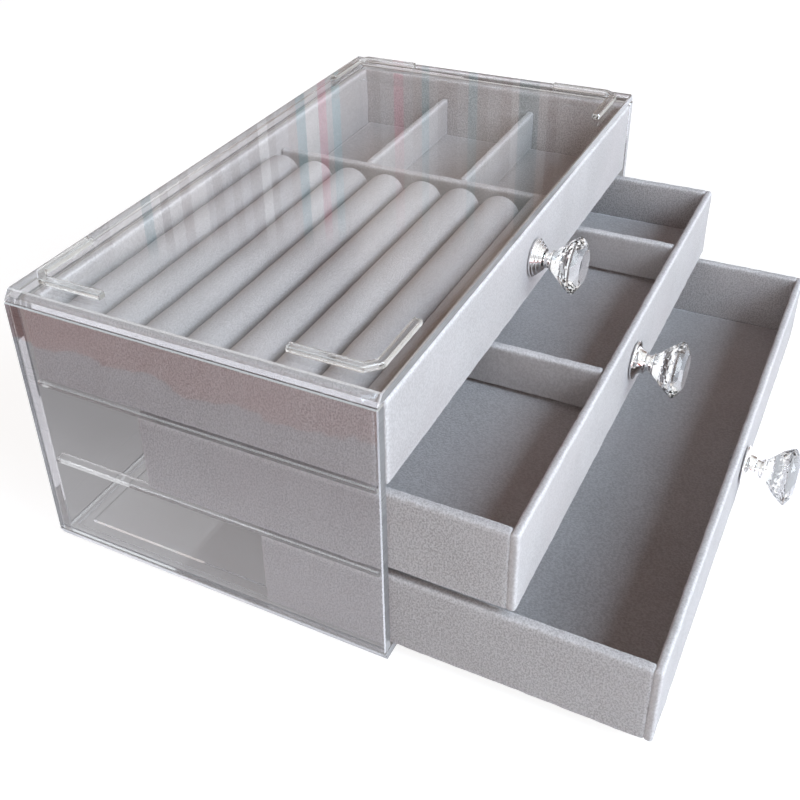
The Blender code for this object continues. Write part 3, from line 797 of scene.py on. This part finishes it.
class JEWELBOX_OT_knobs(bpy.types.Operator):
    """Turn the chrome knob bases and stems, give the crystal heads their glass and fit the screws
    """
    bl_idname = "jewelbox.knobs"
    bl_label = "Crystal Knobs"

    def execute(self, context):
        settings = context.scene.jewelry_box_knob
        plating = chrome("polished_chrome", settings.chrome)
        glass = crystal("cut_crystal")
        steel = screw_steel("screw_steel")
        for tier in TIERS:
            self.add_base(tier, plating, settings)
            self.add_stem(tier, plating, settings)
            head = frame["nodes"][f"{tier}_knob_head"]
            head.data.materials.clear()
            head.data.materials.append(glass)
            self.add_screw(tier, steel)
        return {"FINISHED"}

    def measures(self, node):
        """Centre of the face nearest the drawer, radius and length of a round CAD node."""
        low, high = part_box(node)
        foot = Vector(((low.x + high.x) / 2, high.y, (low.z + high.z) / 2))
        return foot, (high.x - low.x) / 2, high.y - low.y

    def add_base(self, tier, material, settings):
        foot, radius, height = self.measures(f"{tier}_knob_base")
        stem = self.measures(f"{tier}_knob_stem")[1] * STEM_SHARE
        rim = height * BAND_SHARE
        if tier == "top":
            rings = 3
            step = (radius - stem) / (rings + 1)
            rise = (height - rim) / rings
            profile = [(0.0, 0.0), (radius, 0.0), (radius, rim)]
            for ring in range(rings):
                reach = radius - step * (ring + 1)
                profile += [(reach + rise * 0.3, rim + rise * ring),
                            (reach + rise * 0.3, rim + rise * (ring + 0.72)),
                            (reach, rim + rise * (ring + 1))]
            profile.append((0.0, height))
            profile = rounded(profile, STEP_ROUND)
        else:
            neck = stem + (radius - stem) * 0.22
            sweep = [(radius - (radius - neck) * math.sin(turn),
                      height - (height - rim) * math.cos(turn))
                     for turn in (math.radians(6 * step) for step in range(16))]
            band = rounded([(0.0, 0.0), (radius, 0.0), (radius, rim)], BAND_ROUND)
            profile = band + sweep + [(0.0, height)]
        shape = spun(profile, settings.sides, foot)
        add_piece(f"chrome_{tier}_knob_base", shape, material, [f"{tier}_knob_base"])

    def add_stem(self, tier, material, settings):
        foot, cup, length = self.measures(f"{tier}_knob_stem")
        stem = cup * STEM_SHARE
        profile = rounded([(0.0, 0.0), (stem, 0.0), (stem * 0.97, length * 0.5),
                           (cup, length * 0.84), (cup, length), (0.0, length)], STEM_ROUND)
        shape = spun(profile, settings.sides, foot)
        add_piece(f"chrome_{tier}_knob_stem", shape, material, [f"{tier}_knob_stem"])

    def add_screw(self, tier, material):
        low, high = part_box(f"{tier}_knob_screw")
        foot = Vector(((low.x + high.x) / 2, high.y, (low.z + high.z) / 2))
        radius = (high.x - low.x) / 2
        length = high.y - low.y
        shank = radius * 0.56
        height = radius * 0.6
        dome = [(radius * math.sin(turn), height * (1 - math.cos(turn))) for turn in QUARTER_TURN]
        threads = []
        turns = int((length - height - UNTHREADED) / SCREW_PITCH)
        for turn in range(turns):
            start = height + UNDER_HEAD + turn * SCREW_PITCH
            threads += [(shank * 0.86, start), (shank, start + SCREW_PITCH * 0.5)]
        profile = dome + [(radius, height), (shank * 0.9, height)] + threads
        profile += [(shank * 0.86, length - SCREW_POINT), (shank * 0.6, length), (0.0, length)]
        shape = spun(profile, SCREW_SIDES, foot)
        item = add_piece(f"steel_{tier}_knob_screw", shape, material,
                         [f"{tier}_knob_screw"])
        item.data.set_sharp_from_angle(angle=math.radians(50))


class JEWELBOX_OT_stage(bpy.types.Operator):
    """Set up the pale floor, the soft lamps, the surround and the camera"""
    bl_idname = "jewelbox.stage"
    bl_label = "Studio"

    def execute(self, context):
        settings = context.scene.jewelry_box_stage
        self.add_floor(settings)
        self.add_lamps(settings)
        self.set_surround(context, settings)
        self.add_camera(context)
        context.scene.view_settings.view_transform = "Standard"
        return {"FINISHED"}

    def add_floor(self, settings):
        shape = bmesh.new()
        bmesh.ops.create_circle(shape, cap_ends=True, segments=96, radius=FLOOR_RADIUS)
        bmesh.ops.translate(shape, vec=(0.0, 0.0, -FLOOR_DROP), verts=shape.verts)
        item = add_object("floor", shape, pale_floor("pale_floor", settings))

    def add_lamps(self, settings):
        # Each lamp's name, power, place, width and colour.
        lamps = (
            ("key_lamp", settings.key, (0.12, -1.26, 0.32), 0.80, (0.88, 0.945, 1.0)),
            ("sky_lamp", settings.sky, (-0.20, -1.13, 0.91), 0.62, (0.66, 0.83, 1.0)),
            ("side_lamp", settings.side, (-1.32, -0.30, 0.22), 0.60, (0.88, 0.94, 1.0)),
            ("back_lamp", settings.back, (-0.25, 1.30, 0.62), 0.90, (1.0, 0.95, 0.92)),
        )
        for name, power, spot, size, tone in lamps:
            data = bpy.data.lights.new(name, "AREA")
            data.shape = "SQUARE"
            data.size = size
            data.energy = power
            data.color = tone
            lamp = bpy.data.objects.new(name, data)
            lamp.location = spot
            lamp.visible_transmission = False
            aim = Vector(LAMP_TARGET) - Vector(spot)
            lamp.rotation_euler = aim.to_track_quat("-Z", "Y").to_euler()
            bpy.context.scene.collection.objects.link(lamp)

    def set_surround(self, context, settings):
        """White for the camera, a warm dimness for soft light, and a room for reflections."""
        world = bpy.data.worlds.new("surround")
        world.use_nodes = True
        made = Nodes(world.node_tree, "ShaderNodeOutputWorld")
        soft = made.node("ShaderNodeBackground", None, {
            "Color": (1.0, 0.56, 0.34, 1.0), "Strength": settings.surround})
        mirrored = made.node("ShaderNodeBackground", None, {
            "Color": mirrored_room(made), "Strength": 1.15})
        white = made.node("ShaderNodeBackground", None, {"Color": WHITE})
        bounced = made.rays("Is Glossy Ray", "Is Transmission Ray")
        shown = made.blend(soft.outputs[0], mirrored.outputs[0], bounced)
        made.finish(made.blend(shown, white.outputs[0], made.rays("Is Camera Ray")))
        context.scene.world = world

    def add_camera(self, context):
        data = bpy.data.cameras.new("camera")
        data.sensor_width = 36.0
        data.lens = CAMERA_LENS
        data.shift_x, data.shift_y = CAMERA_SHIFTS
        data.clip_start = 0.01
        camera = bpy.data.objects.new("camera", data)
        bearing, dip = math.radians(CAMERA_BEARING), math.radians(CAMERA_DIP)
        forward = Vector((math.sin(bearing) * math.cos(dip), math.cos(bearing) * math.cos(dip),
                          -math.sin(dip)))
        right = Vector((math.cos(bearing), -math.sin(bearing), 0.0))
        up = right.cross(forward)
        level = Matrix((right, up, -forward)).transposed()
        turned = level @ Matrix.Rotation(math.radians(CAMERA_ROLL), 3, "Z")
        camera.matrix_world = Matrix.Translation(CAMERA_PLACE) @ turned.to_4x4()
        context.scene.collection.objects.link(camera)
        context.scene.camera = camera


OPERATORS = (
    JEWELBOX_OT_clear_case,
    JEWELBOX_OT_drawer_boards,
    JEWELBOX_OT_ring_pad,
    JEWELBOX_OT_knobs,
    JEWELBOX_OT_stage,
)


class JEWELBOX_PT_panel(bpy.types.Panel):
    """Lists the pieces of the jewelry box and their settings"""
    bl_idname = "JEWELBOX_PT_panel"
    bl_label = "Jewelry Box"
    bl_space_type = "VIEW_3D"
    bl_region_type = "UI"
    bl_category = "Jewelry Box"

    def draw(self, context):
        for operator in OPERATORS:
            self.layout.operator(operator.bl_idname)
        for name, group in SETTINGS:
            box = self.layout.box()
            for prop in group.__annotations__:
                box.prop(getattr(context.scene, name), prop)


def register():
    for name, group in SETTINGS:
        bpy.utils.register_class(group)
        setattr(bpy.types.Scene, name, PointerProperty(type=group))
    for item in (*OPERATORS, JEWELBOX_PT_panel):
        bpy.utils.register_class(item)


def unregister():
    for item in reversed((*OPERATORS, JEWELBOX_PT_panel)):
        bpy.utils.unregister_class(item)
    for name, group in reversed(SETTINGS):
        delattr(bpy.types.Scene, name)
        bpy.utils.unregister_class(group)


def main():
    register()
    bpy.ops.jewelbox.stage()
    bpy.ops.jewelbox.clear_case()
    bpy.ops.jewelbox.drawer_boards()
    bpy.ops.jewelbox.ring_pad()
    bpy.ops.jewelbox.knobs()


if __name__ == "__main__":
    main()
